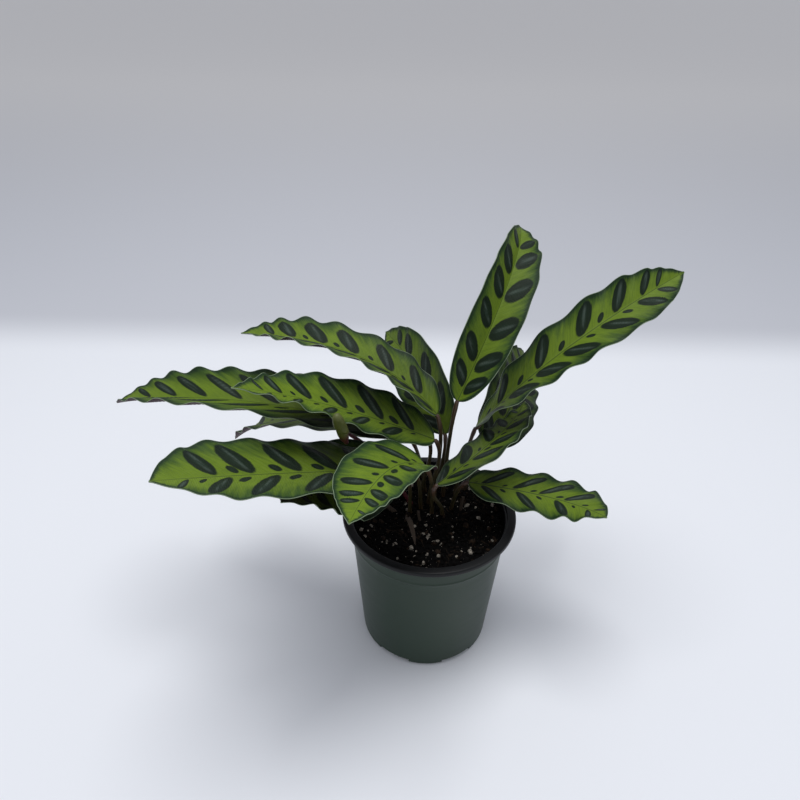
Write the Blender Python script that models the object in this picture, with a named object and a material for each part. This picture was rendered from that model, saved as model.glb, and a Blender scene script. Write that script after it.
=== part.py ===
"""Rattlesnake plant in its nursery pot.

Metres, +Z up. The origin is the centre of the pot's base, and the pot stands on z = 0.
The plant leans and spreads in all directions from a tight clump of leaf stalks. Each blade is a
long lance whose margins wave up and down, one crest on the left between two on the right.
The tables of leaves and roots are in millimetres.
"""

import math
from collections import namedtuple

import bmesh
import bpy
import numpy as np
from mathutils import Vector, noise

MM = 0.001

# Pot, turned about Z
POT_HEIGHT = 99 * MM
POT_RIM_RADIUS = 55 * MM
POT_BASE_RADIUS = 42.4 * MM
WALL_UNDER_LIP = 5.0 * MM
POT_WALL = 1.3 * MM
POT_FLOOR = 3.2 * MM
LIP_WIDTH = 5.5 * MM
LIP_HEIGHT = 3.2 * MM
LIP_BEAD = 1.1 * MM
RIDGE_BELOW_RIM = 16 * MM
CORNER_RADIUS = 3 * MM
FOOT_LIFT = 1.4 * MM
ROUND_STEPS = 52
DRAIN_COUNT = 6
DRAIN_WIDTH = 22 * MM
DRAIN_HEIGHT = 4 * MM
DRAIN_REACH = 9 * MM

# Soil
SOIL_TOP = 91 * MM
SOIL_RELIEF = 2.2 * MM
SOIL_RINGS = 11
GAP = 0.35 * MM

# Blades and their stalks
BLADE_THICKNESS = 0.8 * MM
BLADE_ROWS = 34
BLADE_COLUMNS = (-1.0, -0.6, 0.0, 0.6, 1.0)
BLADE_FULL = 0.38
WAVE_SWELL = (0.6, 1.15)
BASE_HALF_WIDTH = 1.2 * MM
TIP_HALF_WIDTH = 0.5 * MM
STALK_RADIUS = 1.35 * MM
STALK_SIDES_LEVEL = 1
STALK_POINTS = 11
ROOT_DEPTH = 14 * MM

Leaf = namedtuple("Leaf", "name root base mid tip width roll fold blunt wave")
Wave = namedtuple("Wave", "height slant left right")

# root is where the stalk enters the soil; base, mid and tip are on the midrib; roll is the turn
# about the midrib in degrees at base and tip; fold lifts both halves of the blade; blunt rounds
# the tip; a wave has its height, how far its crests lean to the tip on their way out, and the
# places of its crests on the left and right margins in hundredths of the blade's length.
LEAVES = [
    Leaf("leaf_tall", (10, 23), (14, 10, 175), (42, 47, 233), (54, 94, 252),
         35, (34, 31), 30, 3.6, Wave(1.2, 0.8, (1, 9, 21, 37, 52, 65, 80), (6, 17, 33, 52, 69, 80))),
    Leaf("leaf_right_long", (18, 24), (29, 31, 141), (77, 27, 201), (145, 50, 242),
         36, (0, 37), 16, 6.0, Wave(2.4, 0.8, (0, 16, 37, 56, 71, 82, 88), (10, 24, 37, 49, 65, 80, 88))),
    Leaf("leaf_right_middle", (9, 4), (3, -18, 134), (41, 12, 149), (63, 54, 147),
         35, (-23, -28), 1, 1.8, Wave(1.2, 0.8, (3, 22, 45, 62, 80), (9, 28, 43, 60, 76))),
    Leaf("leaf_right_back", (25, 30), (39, 39, 122), (58, 67, 143), (73, 132, 143),
         45, (45, 56), 3, 2.7, Wave(1.5, 0.8, (5, 22, 40, 58, 76), (13, 31, 49, 67, 84))),
    Leaf("leaf_right_low", (15, 10), (23, -2, 123), (73, -13, 121), (99, -37, 128),
         35, (3, 5), 5, 4.5, Wave(2.2, 0.8, (-4, 13, 34, 52, 69, 88), (10, 34, 61, 84))),
    Leaf("leaf_front", (2, 5), (-5, -26, 154), (-25, -52, 171), (-42, -101, 179),
         42, (-2, -1), 19, 3.7, Wave(0.9, 0.8, (7, 29, 50, 68, 77, 88), (1, 15, 39, 61, 73, 80))),
    Leaf("leaf_left_low", (-5, 10), (-13, -12, 140), (-81, -54, 169), (-130, -98, 199),
         58, (10, -7), 10, 4.5, Wave(1.2, 0.8, (3, 18, 37, 58, 75, 88), (-2, 13, 28, 43, 61, 75))),
    Leaf("leaf_left_under", (-12, 5), (-18, -4, 129), (-55, -22, 137), (-77, -77, 170),
         52, (-52, -17), 9, 1.8, Wave(1.3, 0.8, (4, 22, 40, 58, 76), (13, 31, 49, 67, 84))),
    Leaf("leaf_left_middle", (0, 15), (1, 2, 152), (-61, -8, 182), (-105, -38, 211),
         45, (-9, -8), 17, 2.3, Wave(1.6, 0.8, (2, 17, 33, 49, 66, 81), (1, 11, 26, 44, 61, 75, 84))),
    Leaf("leaf_left_long", (-5, 20), (-4, 10, 148), (-109, 9, 172), (-196, 27, 158),
         44, (-19, 8), 25, 6.5, Wave(1.8, 1.6, (10, 22, 35, 48, 60, 72), (12, 23, 34, 45, 56, 67, 77, 86))),
    Leaf("leaf_left_high", (4, 20), (2, 8, 166), (-45, 25, 195), (-115, 33, 205),
         41, (5, 6), 21, 4.5, Wave(1.7, 0.8, (6, 18, 31, 48, 64, 78), (2, 13, 29, 47, 62, 76, 85))),
    Leaf("leaf_back", (7, 30), (9, 25, 140), (-6, 56, 163), (-31, 116, 165),
         39, (-58, -55), 12, 2.9, Wave(1.0, 0.8, (5, 25, 48, 69, 84), (14, 35, 61, 75))),
    Leaf("leaf_left_back", (-2, 27), (-13, 29, 132), (-85, 43, 137), (-139, 75, 97),
         37, (5, 5), 12, 2.5, Wave(1.5, 0.8, (4, 19, 34, 50, 66, 82), (11, 26, 42, 58, 74, 88))),
]

# A young leaf, still rolled: its stalk winds up between two blades, and the roll starts at its base
FURLED_ROOT = (-11, 14)
FURLED_STALK = [(-36, 13, 133), (-50, 9, 150), (-52.5, 2, 157), (-51, -11, 162)]
FURLED_BASE = (-49, -28, 172)
FURLED_TIP = (-53, -35, 194)
FURLED_RADIUS = 3.4 * MM
FURLED_POINTS = 9

# Dry remains of older stalks: name, root on the soil, top, radius
REMNANTS = [
    ("stub_cut", (-22, 6), (-27, 4, 98), 1.6 * MM),
    ("stub_pale_left", (-6, -1), (-7, -2, 99), 1.0 * MM),
    ("stub_pale_right", (21, 9), (22, 8, 103), 1.0 * MM),
]
SHEATH_ROOT = (-15, -3)
SHEATH_TOP = (-9, -28, 95)
SHEATH_WIDTH = 6 * MM
SHEATH_THICKNESS = 0.8 * MM

COLOURS = {
    "pot": ((0.030, 0.042, 0.034), 0.55),
    "soil": ((0.016, 0.012, 0.009), 0.95),
    "leaf": ((0.180, 0.330, 0.080), 0.42),
    "stalk": ((0.075, 0.060, 0.025), 0.45),
    "dry": ((0.260, 0.170, 0.085), 0.85),
}


def clear_scene():
    for item in list(bpy.data.objects):
        bpy.data.objects.remove(item)


def material(name):
    """One Principled material for each kind of surface, made once."""
    found = bpy.data.materials.get(name)
    if found:
        return found
    colour, roughness = COLOURS[name]
    made = bpy.data.materials.new(name)
    made.use_nodes = True
    shader = made.node_tree.nodes["Principled BSDF"]
    shader.inputs["Base Color"].default_value = (*colour, 1.0)
    shader.inputs["Roughness"].default_value = roughness
    shader.inputs["Metallic"].default_value = 0.0
    made.diffuse_color = (*colour, 1.0)
    return made


def place(name, data, surface):
    """Link an object with its material."""
    thing = bpy.data.objects.new(name, data)
    bpy.context.collection.objects.link(thing)
    thing.data.materials.append(material(surface))
    return thing


def mesh_object(name, points, faces, surface):
    """An object from points and faces, smooth except at sharp edges."""
    mesh = bpy.data.meshes.new(name)
    mesh.from_pydata([tuple(map(float, p)) for p in points], [], faces)
    mesh.validate()
    mesh.shade_smooth()
    mesh.set_sharp_from_angle(angle=math.radians(50))
    return place(name, mesh, surface)


def unit(vectors):
    return vectors / np.linalg.norm(vectors, axis=-1, keepdims=True)


def metres(point):
    return np.array(point, float) * MM


def cut(target, cutters):
    """Subtract each cutter from the target, and leave the cutters as hidden guides."""
    for cutter in cutters:
        cutter.hide_render = True
        cutter.display_type = "WIRE"
        step = target.modifiers.new("cut " + cutter.name, "BOOLEAN")
        step.operation = "DIFFERENCE"
        step.object = cutter


def rod(name, start, end, radius, sides=12):
    """A closed round bar between two points."""
    start, end = Vector(start), Vector(end)
    shape = bmesh.new()
    bmesh.ops.create_cone(shape, cap_ends=True, segments=sides, radius1=radius, radius2=radius,
                          depth=(end - start).length)
    mesh = bpy.data.meshes.new(name)
    shape.to_mesh(mesh)
    shape.free()
    bar = place(name, mesh, "soil")
    bar.location = (start + end) / 2
    bar.rotation_mode = "QUATERNION"
    bar.rotation_quaternion = (end - start).to_track_quat("Z", "Y")
    return bar


# Pot

def wall_radius(z):
    """Outer radius of the straight wall at a height."""
    top = POT_RIM_RADIUS - WALL_UNDER_LIP
    low, high = CORNER_RADIUS, POT_HEIGHT - LIP_HEIGHT
    return POT_BASE_RADIUS + (top - POT_BASE_RADIUS) * (z - low) / (high - low)


def corner(centre_radius, centre_height, radius, steps=4):
    """Points of a bottom corner from the wall down to the floor, a quarter of a circle."""
    turns = [math.radians(90 * k / steps) for k in range(steps + 1)]
    return [(centre_radius + radius * math.cos(t), centre_height - radius * math.sin(t)) for t in turns]


def pot_profile():
    """Radius and height from the inner floor, up inside, over the lip and down outside."""
    inner = wall_radius(CORNER_RADIUS) - POT_WALL
    inner_corner = corner(inner - 5 * MM, POT_FLOOR + 5 * MM, 5 * MM, 3)
    lip_in = POT_RIM_RADIUS - LIP_WIDTH
    lip_low = POT_HEIGHT - LIP_HEIGHT
    points = [(0, POT_FLOOR)] + inner_corner[::-1]
    points += [(wall_radius(lip_low) - POT_WALL, lip_low), (lip_in, lip_low + 0.6 * MM)]
    points += [(lip_in, POT_HEIGHT - LIP_BEAD), (lip_in + LIP_BEAD, POT_HEIGHT)]
    points += [(POT_RIM_RADIUS - LIP_BEAD, POT_HEIGHT), (POT_RIM_RADIUS, POT_HEIGHT - LIP_BEAD)]
    points += [(POT_RIM_RADIUS, lip_low + 0.7 * MM), (POT_RIM_RADIUS - 0.7 * MM, lip_low)]
    points += [(wall_radius(lip_low), lip_low)]
    ridge = POT_HEIGHT - RIDGE_BELOW_RIM
    points += [(wall_radius(ridge + 1 * MM), ridge + 1 * MM), (wall_radius(ridge) + 0.5 * MM, ridge)]
    points += [(wall_radius(ridge - 1 * MM), ridge - 1 * MM)]
    foot = wall_radius(CORNER_RADIUS) - CORNER_RADIUS
    points += corner(foot, CORNER_RADIUS, CORNER_RADIUS)
    points += [(foot - 3 * MM, 0), (foot - 4.5 * MM, FOOT_LIFT), (13 * MM, FOOT_LIFT), (11.5 * MM, 0), (0, 0)]
    return points


def make_pot():
    points = [(r, 0, z) for r, z in pot_profile()]
    mesh = bpy.data.meshes.new("pot")
    mesh.from_pydata(points, [(k, k + 1) for k in range(len(points) - 1)], [])
    pot = place("pot", mesh, "pot")
    turn = pot.modifiers.new("turn", "SCREW")
    turn.axis = "Z"
    turn.steps = turn.render_steps = ROUND_STEPS
    turn.use_merge_vertices = True
    turn.merge_threshold = 0.00001
    turn.use_smooth_shade = True
    cut(pot, [drain_cutter(k) for k in range(DRAIN_COUNT)])


def drain_cutter(index):
    """A block across the bottom corner, for one drainage slot."""
    turn = 2 * math.pi * index / DRAIN_COUNT
    middle = wall_radius(CORNER_RADIUS) - DRAIN_REACH / 2 + 1 * MM
    shape = bmesh.new()
    bmesh.ops.create_cube(shape, size=1)
    bmesh.ops.scale(shape, vec=(DRAIN_REACH, DRAIN_WIDTH, 2 * DRAIN_HEIGHT), verts=shape.verts)
    mesh = bpy.data.meshes.new("drain")
    shape.to_mesh(mesh)
    shape.free()
    block = place(f"drain_{index + 1}", mesh, "pot")
    block.location = (middle * math.cos(turn), middle * math.sin(turn), 0)
    block.rotation_euler = (0, 0, turn)
    return block


# Soil

def soil_height(x, y):
    """The soil's lumpy top: clods, and grains of perlite that stand out of it."""
    clods = noise.noise(Vector((x, y, 0)) / (11 * MM)) + 0.5 * noise.noise(Vector((x, y, 9 * MM)) / (5 * MM))
    grain = max(0.0, noise.noise(Vector((x, y, 40 * MM)) / (3.2 * MM)) - 0.25)
    edge = min(1.0, (47 * MM - math.hypot(x, y)) / (8 * MM))
    return SOIL_TOP + SOIL_RELIEF * max(0.0, edge) * (0.55 * clods + 1.2 * grain)


def soil_rings():
    """Radius and height of each ring, from the top's centre out and down to the bottom."""
    top = wall_radius(SOIL_TOP) - POT_WALL - GAP
    low = wall_radius(CORNER_RADIUS) - POT_WALL - GAP
    floor = POT_FLOOR + GAP
    rings = [(top * (k + 1) / SOIL_RINGS, None) for k in range(SOIL_RINGS)]
    return rings + [(low - 0.4 * MM, floor + 8 * MM), (low - 6 * MM, floor)]


def make_soil(cutters):
    points = [(0, 0, soil_height(0, 0))]
    for radius, height in soil_rings():
        for k in range(ROUND_STEPS):
            turn = 2 * math.pi * k / ROUND_STEPS
            x, y = radius * math.cos(turn), radius * math.sin(turn)
            points.append((x, y, soil_height(x, y) if height is None else height))
    last = len(points)
    points.append((0, 0, POT_FLOOR + GAP))
    faces = []
    for k in range(ROUND_STEPS):
        after = (k + 1) % ROUND_STEPS
        faces.append((0, 1 + k, 1 + after))
        for ring in range(len(soil_rings()) - 1):
            a, b = 1 + ring * ROUND_STEPS, 1 + (ring + 1) * ROUND_STEPS
            faces += [(a + k, b + k, b + after), (a + k, b + after, a + after)]
        faces.append((last, last - ROUND_STEPS + after, last - ROUND_STEPS + k))
    cut(mesh_object("soil", points, faces, "soil"), cutters)


# Blades

def midrib(leaf, rows):
    """Evenly spaced points on the arched midrib, and its length."""
    base, mid, tip = metres(leaf.base), metres(leaf.mid), metres(leaf.tip)
    control = 2 * mid - (base + tip) / 2
    t = np.linspace(0, 1, 400)[:, None]
    curve = (1 - t) ** 2 * base + 2 * t * (1 - t) * control + t ** 2 * tip
    run = np.r_[0, np.cumsum(np.linalg.norm(np.diff(curve, axis=0), axis=1))]
    along = np.linspace(0, run[-1], rows)
    return np.stack([np.interp(along, run, curve[:, k]) for k in range(3)], axis=1), run[-1]


def half_widths(leaf, u):
    """Half the blade's width along its length: a round base, then a long lance tip."""
    rise = np.sqrt(1 - (1 - np.clip(u / BLADE_FULL, 0, 1)) ** 2.2)
    fall = 1 - np.clip((u - BLADE_FULL) / (1 - BLADE_FULL), 0, 1) ** leaf.blunt
    shape = leaf.width * MM / 2 * np.where(u < BLADE_FULL, rise, fall)
    return np.maximum(shape, BASE_HALF_WIDTH + (TIP_HALF_WIDTH - BASE_HALF_WIDTH) * u)


def wave_turns(crests, vein):
    """Turns of a margin's wave at a place on the blade: a whole number at each crest."""
    places = np.array(crests) / 100
    before, after = places[1] - places[0], places[-1] - places[-2]
    knots = np.r_[places[0] - 3 * before, places, places[-1] + 3 * after]
    return np.interp(vein, knots, np.r_[-3, np.arange(len(places)), len(places) + 2])


def blade_grid(leaf, rows, columns):
    """Points of the blade's middle surface, a row for each step along the midrib."""
    spine, length = midrib(leaf, rows)
    along = unit(np.gradient(spine, axis=0))
    flat = unit(np.cross((0, 0, 1), along))
    roll = np.radians(np.linspace(*leaf.roll, rows))[:, None]
    side = np.cos(roll) * flat + np.sin(roll) * np.cross(along, flat)
    normal = np.cross(along, side)
    u = np.linspace(0, 1, rows)
    half = half_widths(leaf, u)
    calm = np.clip(u / 0.12, 0, 1) * np.clip((1 - u) / 0.2, 0, 1) * np.interp(u, (0, 1), WAVE_SWELL)
    fold = math.radians(leaf.fold)
    grid = np.zeros((rows, len(columns), 3))
    for j, v in enumerate(columns):
        out = half * abs(v)
        vein = u - leaf.wave.slant * out / length
        crest = np.cos(2 * math.pi * wave_turns(leaf.wave.left if v > 0 else leaf.wave.right, vein))
        lift = out * math.sin(fold) + leaf.wave.height * MM * abs(v) ** 1.8 * calm * crest
        reach = np.sign(v) * out * math.cos(fold)
        grid[:, j] = spine + side * reach[:, None] + normal * lift[:, None]
    return grid


def make_blade(leaf):
    """A thin arched and waved blade, split into triangles alike on both faces."""
    rows, columns = BLADE_ROWS + 1, len(BLADE_COLUMNS)
    grid = blade_grid(leaf, rows, BLADE_COLUMNS)
    faces = []
    for i in range(rows - 1):
        for j in range(columns - 1):
            a, b = i * columns + j, (i + 1) * columns + j
            left = [(a, b, b + 1), (a, b + 1, a + 1)]
            right = [(a, b, a + 1), (a + 1, b, b + 1)]
            faces += left if j >= columns // 2 else right
    blade = mesh_object(leaf.name, grid.reshape(-1, 3), faces, "leaf")
    shell = blade.modifiers.new("thickness", "SOLIDIFY")
    shell.thickness = BLADE_THICKNESS
    shell.offset = 0


# Stalks

def tube(name, points, radii, surface):
    """A closed round tube along points, with a radius at each."""
    curve = bpy.data.curves.new(name, "CURVE")
    curve.dimensions = "3D"
    curve.bevel_depth = 1.0
    curve.bevel_resolution = STALK_SIDES_LEVEL
    curve.use_fill_caps = True
    curve.render_resolution_u = 0
    line = curve.splines.new("POLY")
    line.points.add(len(points) - 1)
    for knot, point, radius in zip(line.points, points, radii):
        knot.co = (*map(float, point), 1.0)
        knot.radius = float(radius)
    return place(name, curve, surface)


def bezier(start, start_way, end, end_way, count):
    """Points of a cubic curve that leaves and arrives along the given vectors."""
    t = np.linspace(0, 1, count)[:, None]
    a, b = start + start_way, end - end_way
    return (1 - t) ** 3 * start + 3 * t * (1 - t) ** 2 * a + 3 * t * t * (1 - t) * b + t ** 3 * end


def smooth_path(knots, steps=4):
    """Points of a smooth curve through the inner knots, from the first up to the last but one."""
    knots = np.array(knots)
    path = [knots[0]]
    for k in range(1, len(knots) - 2):
        a, b, c, d = knots[k - 1], knots[k], knots[k + 1], knots[k + 2]
        for t in np.arange(steps) / steps:
            path.append(0.5 * (2 * b + (c - a) * t + (2 * a - 5 * b + 4 * c - d) * t ** 2
                               + (3 * b - a - 3 * c + d) * t ** 3))
    return np.array(path)


def on_soil(root):
    return np.array((root[0] * MM, root[1] * MM, SOIL_TOP))


def stalk_hole(name, path_start, path_entry, radius):
    """A cutter for the hole that a stalk stands in, from just under its end to above the soil."""
    way = unit(path_entry - path_start)
    end = path_entry + way * 6 * MM
    return rod("hole_" + name, path_start - way * GAP, end, radius + GAP)


def make_stalk(leaf):
    """The stalk from its root in the soil to the blade's base, thicker in its last stretch."""
    spine, _ = midrib(leaf, 61)
    blade_way = unit(spine[3] - spine[0])
    entry = on_soil(leaf.root)
    span = np.linalg.norm(spine[0] - entry)
    rise = unit((spine[0] - entry) * (0.45, 0.45, 1.0))
    arrive = unit(blade_way + (0, 0, 1.1))
    tilt = math.sqrt(max(0.0, 1 - float(arrive @ blade_way) ** 2))
    end = spine[0] - blade_way * (STALK_RADIUS * tilt + GAP)
    above = bezier(entry, rise * span * 0.35, end, arrive * span * 0.22, STALK_POINTS)
    foot = entry - rise * ROOT_DEPTH
    points = np.vstack([foot, above])
    radii = [STALK_RADIUS * 1.1] * 2 + [STALK_RADIUS * 0.92] * (STALK_POINTS - 3) + [STALK_RADIUS] * 2
    tube(leaf.name.replace("leaf", "stalk"), points, radii, "stalk")
    return stalk_hole(leaf.name, foot, entry, STALK_RADIUS * 1.1)


def make_furled_leaf():
    """The young rolled leaf on its own stalk: one slim spindle, closed at its tip."""
    entry, base, tip = on_soil(FURLED_ROOT), metres(FURLED_BASE), metres(FURLED_TIP)
    first = metres(FURLED_STALK[0])
    rise = unit((first - entry) * (0.5, 0.5, 1.0))
    foot = entry - rise * ROOT_DEPTH
    stalk = smooth_path([foot, entry] + [metres(p) for p in FURLED_STALK] + [base, tip])
    roll = [base + (tip - base) * k / (FURLED_POINTS - 1) for k in range(FURLED_POINTS)]
    swell = [0.5, 0.8, 0.97, 1.0, 0.98, 0.9, 0.75, 0.5, 0.16]
    points = np.vstack([stalk, roll])
    radii = [STALK_RADIUS] * (len(points) - FURLED_POINTS) + [FURLED_RADIUS * s for s in swell]
    tube("leaf_furled", points, radii, "leaf")
    return stalk_hole("leaf_furled", foot, entry, STALK_RADIUS)


def make_remnant(name, root, top, radius):
    """A short dry stub that stands in the soil."""
    entry, top = on_soil(root), metres(top)
    way = unit(top - entry)
    foot = entry - way * 7 * MM
    tube(name, [foot, entry, (entry + top) / 2, top], [radius, radius, radius * 0.95, radius * 0.85], "dry")
    return stalk_hole(name, foot, entry, radius)


def make_sheath():
    """A dry leaf sheath: a curled strip that stands in the soil and bends over to the front."""
    entry, top = on_soil(SHEATH_ROOT), metres(SHEATH_TOP)
    foot = entry - Vector((0, 0, 7 * MM))
    rows = bezier(np.array(entry), np.array((0, -4, 14)) * MM, np.array(top), np.array((2, -10, -7)) * MM, 9)
    rows = np.vstack([np.array(foot), rows])
    along = unit(np.gradient(rows, axis=0))
    side = unit(np.cross(along, (0.35, -1.0, 0.9)))
    normal = np.cross(side, along)
    widths = SHEATH_WIDTH * np.array([0.34, 0.34, 0.42, 0.7, 0.9, 1.0, 0.95, 0.8, 0.55, 0.2])
    points, columns = [], (-0.5, -0.2, 0.2, 0.5)
    for k, row in enumerate(rows):
        for v in columns:
            points.append(row + side[k] * widths[k] * v + normal[k] * widths[k] * 0.9 * v * v)
    faces = []
    for i in range(len(rows) - 1):
        for j in range(len(columns) - 1):
            a, b = i * len(columns) + j, (i + 1) * len(columns) + j
            faces += [(a, a + 1, b + 1), (a, b + 1, b)]
    strip = mesh_object("sheath_dry", points, faces, "dry")
    shell = strip.modifiers.new("thickness", "SOLIDIFY")
    shell.thickness = SHEATH_THICKNESS
    shell.offset = 0
    return stalk_hole("sheath_dry", np.array(foot), np.array(entry), SHEATH_WIDTH * 0.26)


def main():
    clear_scene()
    make_pot()
    holes = []
    for leaf in LEAVES:
        make_blade(leaf)
        holes.append(make_stalk(leaf))
    holes.append(make_furled_leaf())
    for remnant in REMNANTS:
        holes.append(make_remnant(*remnant))
    holes.append(make_sheath())
    make_soil(holes)


main()
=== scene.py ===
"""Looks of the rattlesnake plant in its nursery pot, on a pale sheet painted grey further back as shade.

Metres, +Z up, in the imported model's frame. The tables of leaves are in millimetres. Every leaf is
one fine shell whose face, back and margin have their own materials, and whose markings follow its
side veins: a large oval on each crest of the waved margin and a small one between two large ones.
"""

import math
import random
from collections import namedtuple

import bmesh
import bpy
import numpy as np
from mathutils import Matrix, Vector, noise


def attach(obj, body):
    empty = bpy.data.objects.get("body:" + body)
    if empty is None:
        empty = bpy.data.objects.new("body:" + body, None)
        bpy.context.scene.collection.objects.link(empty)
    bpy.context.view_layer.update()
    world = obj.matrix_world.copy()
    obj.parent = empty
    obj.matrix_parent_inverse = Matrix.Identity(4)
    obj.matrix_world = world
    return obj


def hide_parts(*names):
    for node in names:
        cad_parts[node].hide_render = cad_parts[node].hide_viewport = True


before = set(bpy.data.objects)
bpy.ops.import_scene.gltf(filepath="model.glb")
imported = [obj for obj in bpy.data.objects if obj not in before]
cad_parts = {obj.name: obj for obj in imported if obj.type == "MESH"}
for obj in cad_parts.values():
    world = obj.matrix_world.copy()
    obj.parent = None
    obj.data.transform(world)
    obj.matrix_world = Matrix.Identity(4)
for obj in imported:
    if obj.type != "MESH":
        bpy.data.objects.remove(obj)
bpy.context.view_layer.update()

MM = 0.001
BODY = "root"

# Camera, as the photograph was taken
CAMERA_PLACE = (-0.0199, -0.3370, 0.3985)
CAMERA_PITCH = math.radians(32.8)
CAMERA_ROLL = math.radians(1.1)
CAMERA_LENS = 31.5
CAMERA_SENSOR = 36.0

# Backdrop and light: the sheet turns from pale to grey between two distances behind the pot, as painted
# shade of a wall, and is painted lighter far back, where the lamp's light falls off
SHEET_SIZE = 80.0
PALE_TO = 0.365
GREY_FROM = 0.475
FAR_FROM = 2.4
FLOOR_COLOUR = (0.80, 0.815, 0.85)
WALL_PAINTED_SHADE = (0.550, 0.560, 0.600)
WALL_FAR_PAINTED_LIGHT = (0.760, 0.745, 0.740)
WORLD_COLOUR = (0.90, 0.93, 1.0)
WORLD_STRENGTH = 0.60
KEY_PLACE = (-0.05, 0.02, 1.5)
KEY_SIZE = 0.8
KEY_POWER = 12.0

# Pot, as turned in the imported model
POT_HEIGHT = 99 * MM
POT_RIM_RADIUS = 55 * MM
POT_BASE_RADIUS = 42.4 * MM
WALL_UNDER_LIP = 5.0 * MM
POT_WALL = 1.3 * MM
POT_FLOOR = 3.2 * MM
LIP_WIDTH = 5.5 * MM
LIP_HEIGHT = 3.2 * MM
LIP_BEAD = 1.1 * MM
LIP_EDGE = 0.8 * MM
INNER_CORNER = 5 * MM
RIDGE_BELOW_RIM = 16 * MM
RIDGE_OUT = 0.5 * MM
CORNER_RADIUS = 3 * MM
FOOT_LIFT = 1.4 * MM
BOSS_RADIUS = 11.5 * MM
POT_STEPS = 224
DRAIN_COUNT = 6
DRAIN_WIDTH = 22 * MM
DRAIN_HEIGHT = 4 * MM
DRAIN_REACH = 9 * MM

# Soil and what lies in it
SOIL_TOP = 91 * MM
SOIL_EDGE = 47 * MM
SOIL_RELIEF = 2.2 * MM
SOIL_ROUGHNESS = 0.55 * MM
SOIL_STEPS = 200
SOIL_RINGS = 62
STALK_ROOM = 2.6
CRUMB_COUNT = 1100
PERLITE_COUNT = 120
SPECK_COUNT = 420
BARK_COUNT = 110
FIBRE_COUNT = 110

# Blades and stalks
BLADE_FULL = 0.38
WAVE_SWELL = (0.6, 1.15)
# Where along the blade the painted shade passes from its base value to its tip value
PAINTED_LIGHT_SPAN = (0.25, 0.6)
BASE_HALF_WIDTH = 1.2 * MM
TIP_HALF_WIDTH = 0.5 * MM
ROW_STEP = 0.95 * MM
SIDE_COLUMNS = 22
MARGIN_THICKNESS = 0.34 * MM
CENTRE_THICKNESS = 0.62 * MM
VEIN_STEP = 4.1 * MM
VEIN_RELIEF = 0.14 * MM
CREASE_HEIGHT = 0.28 * MM
CREASE_WIDTH = 0.55 * MM
RIB_RISE = 0.35 * MM
RIB_RISE_WIDTH = 0.7 * MM
RIB_DEPTH = 1.25 * MM
RIB_DEPTH_WIDTH = 1.0 * MM
OVAL_INNER = 0.05
DAB_INNER = 0.07
DAB_REACH = 0.5
DAB_ASPECTS = (0.66, 0.66)
DAB_ROOM = 12
NOWHERE = 9.0
STALK_RADIUS = 1.35 * MM
STALK_SIDES = 18
STALK_ROWS = 70
GAP = 0.35 * MM

Leaf = namedtuple("Leaf", "name root base mid tip width roll fold blunt wave marks")
# A wave has its height, how far its crests lean to the tip on their way out, and the places of its
# crests on the left and right margins, in hundredths of the blade's length. Marks have the share of
# the half blade that large ovals reach out to, their width on the left and right as a share of their
# length, the small ovals' size, the painted light at the blade's base and tip (below 1 is painted
# shade that darkens the colour of a blade lying in shade), and how far the ovals on
# the left and right lean from their vein to the tip.
Wave = namedtuple("Wave", "height slant left right")
Marks = namedtuple("Marks", "outer aspects small bright tilts")

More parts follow.
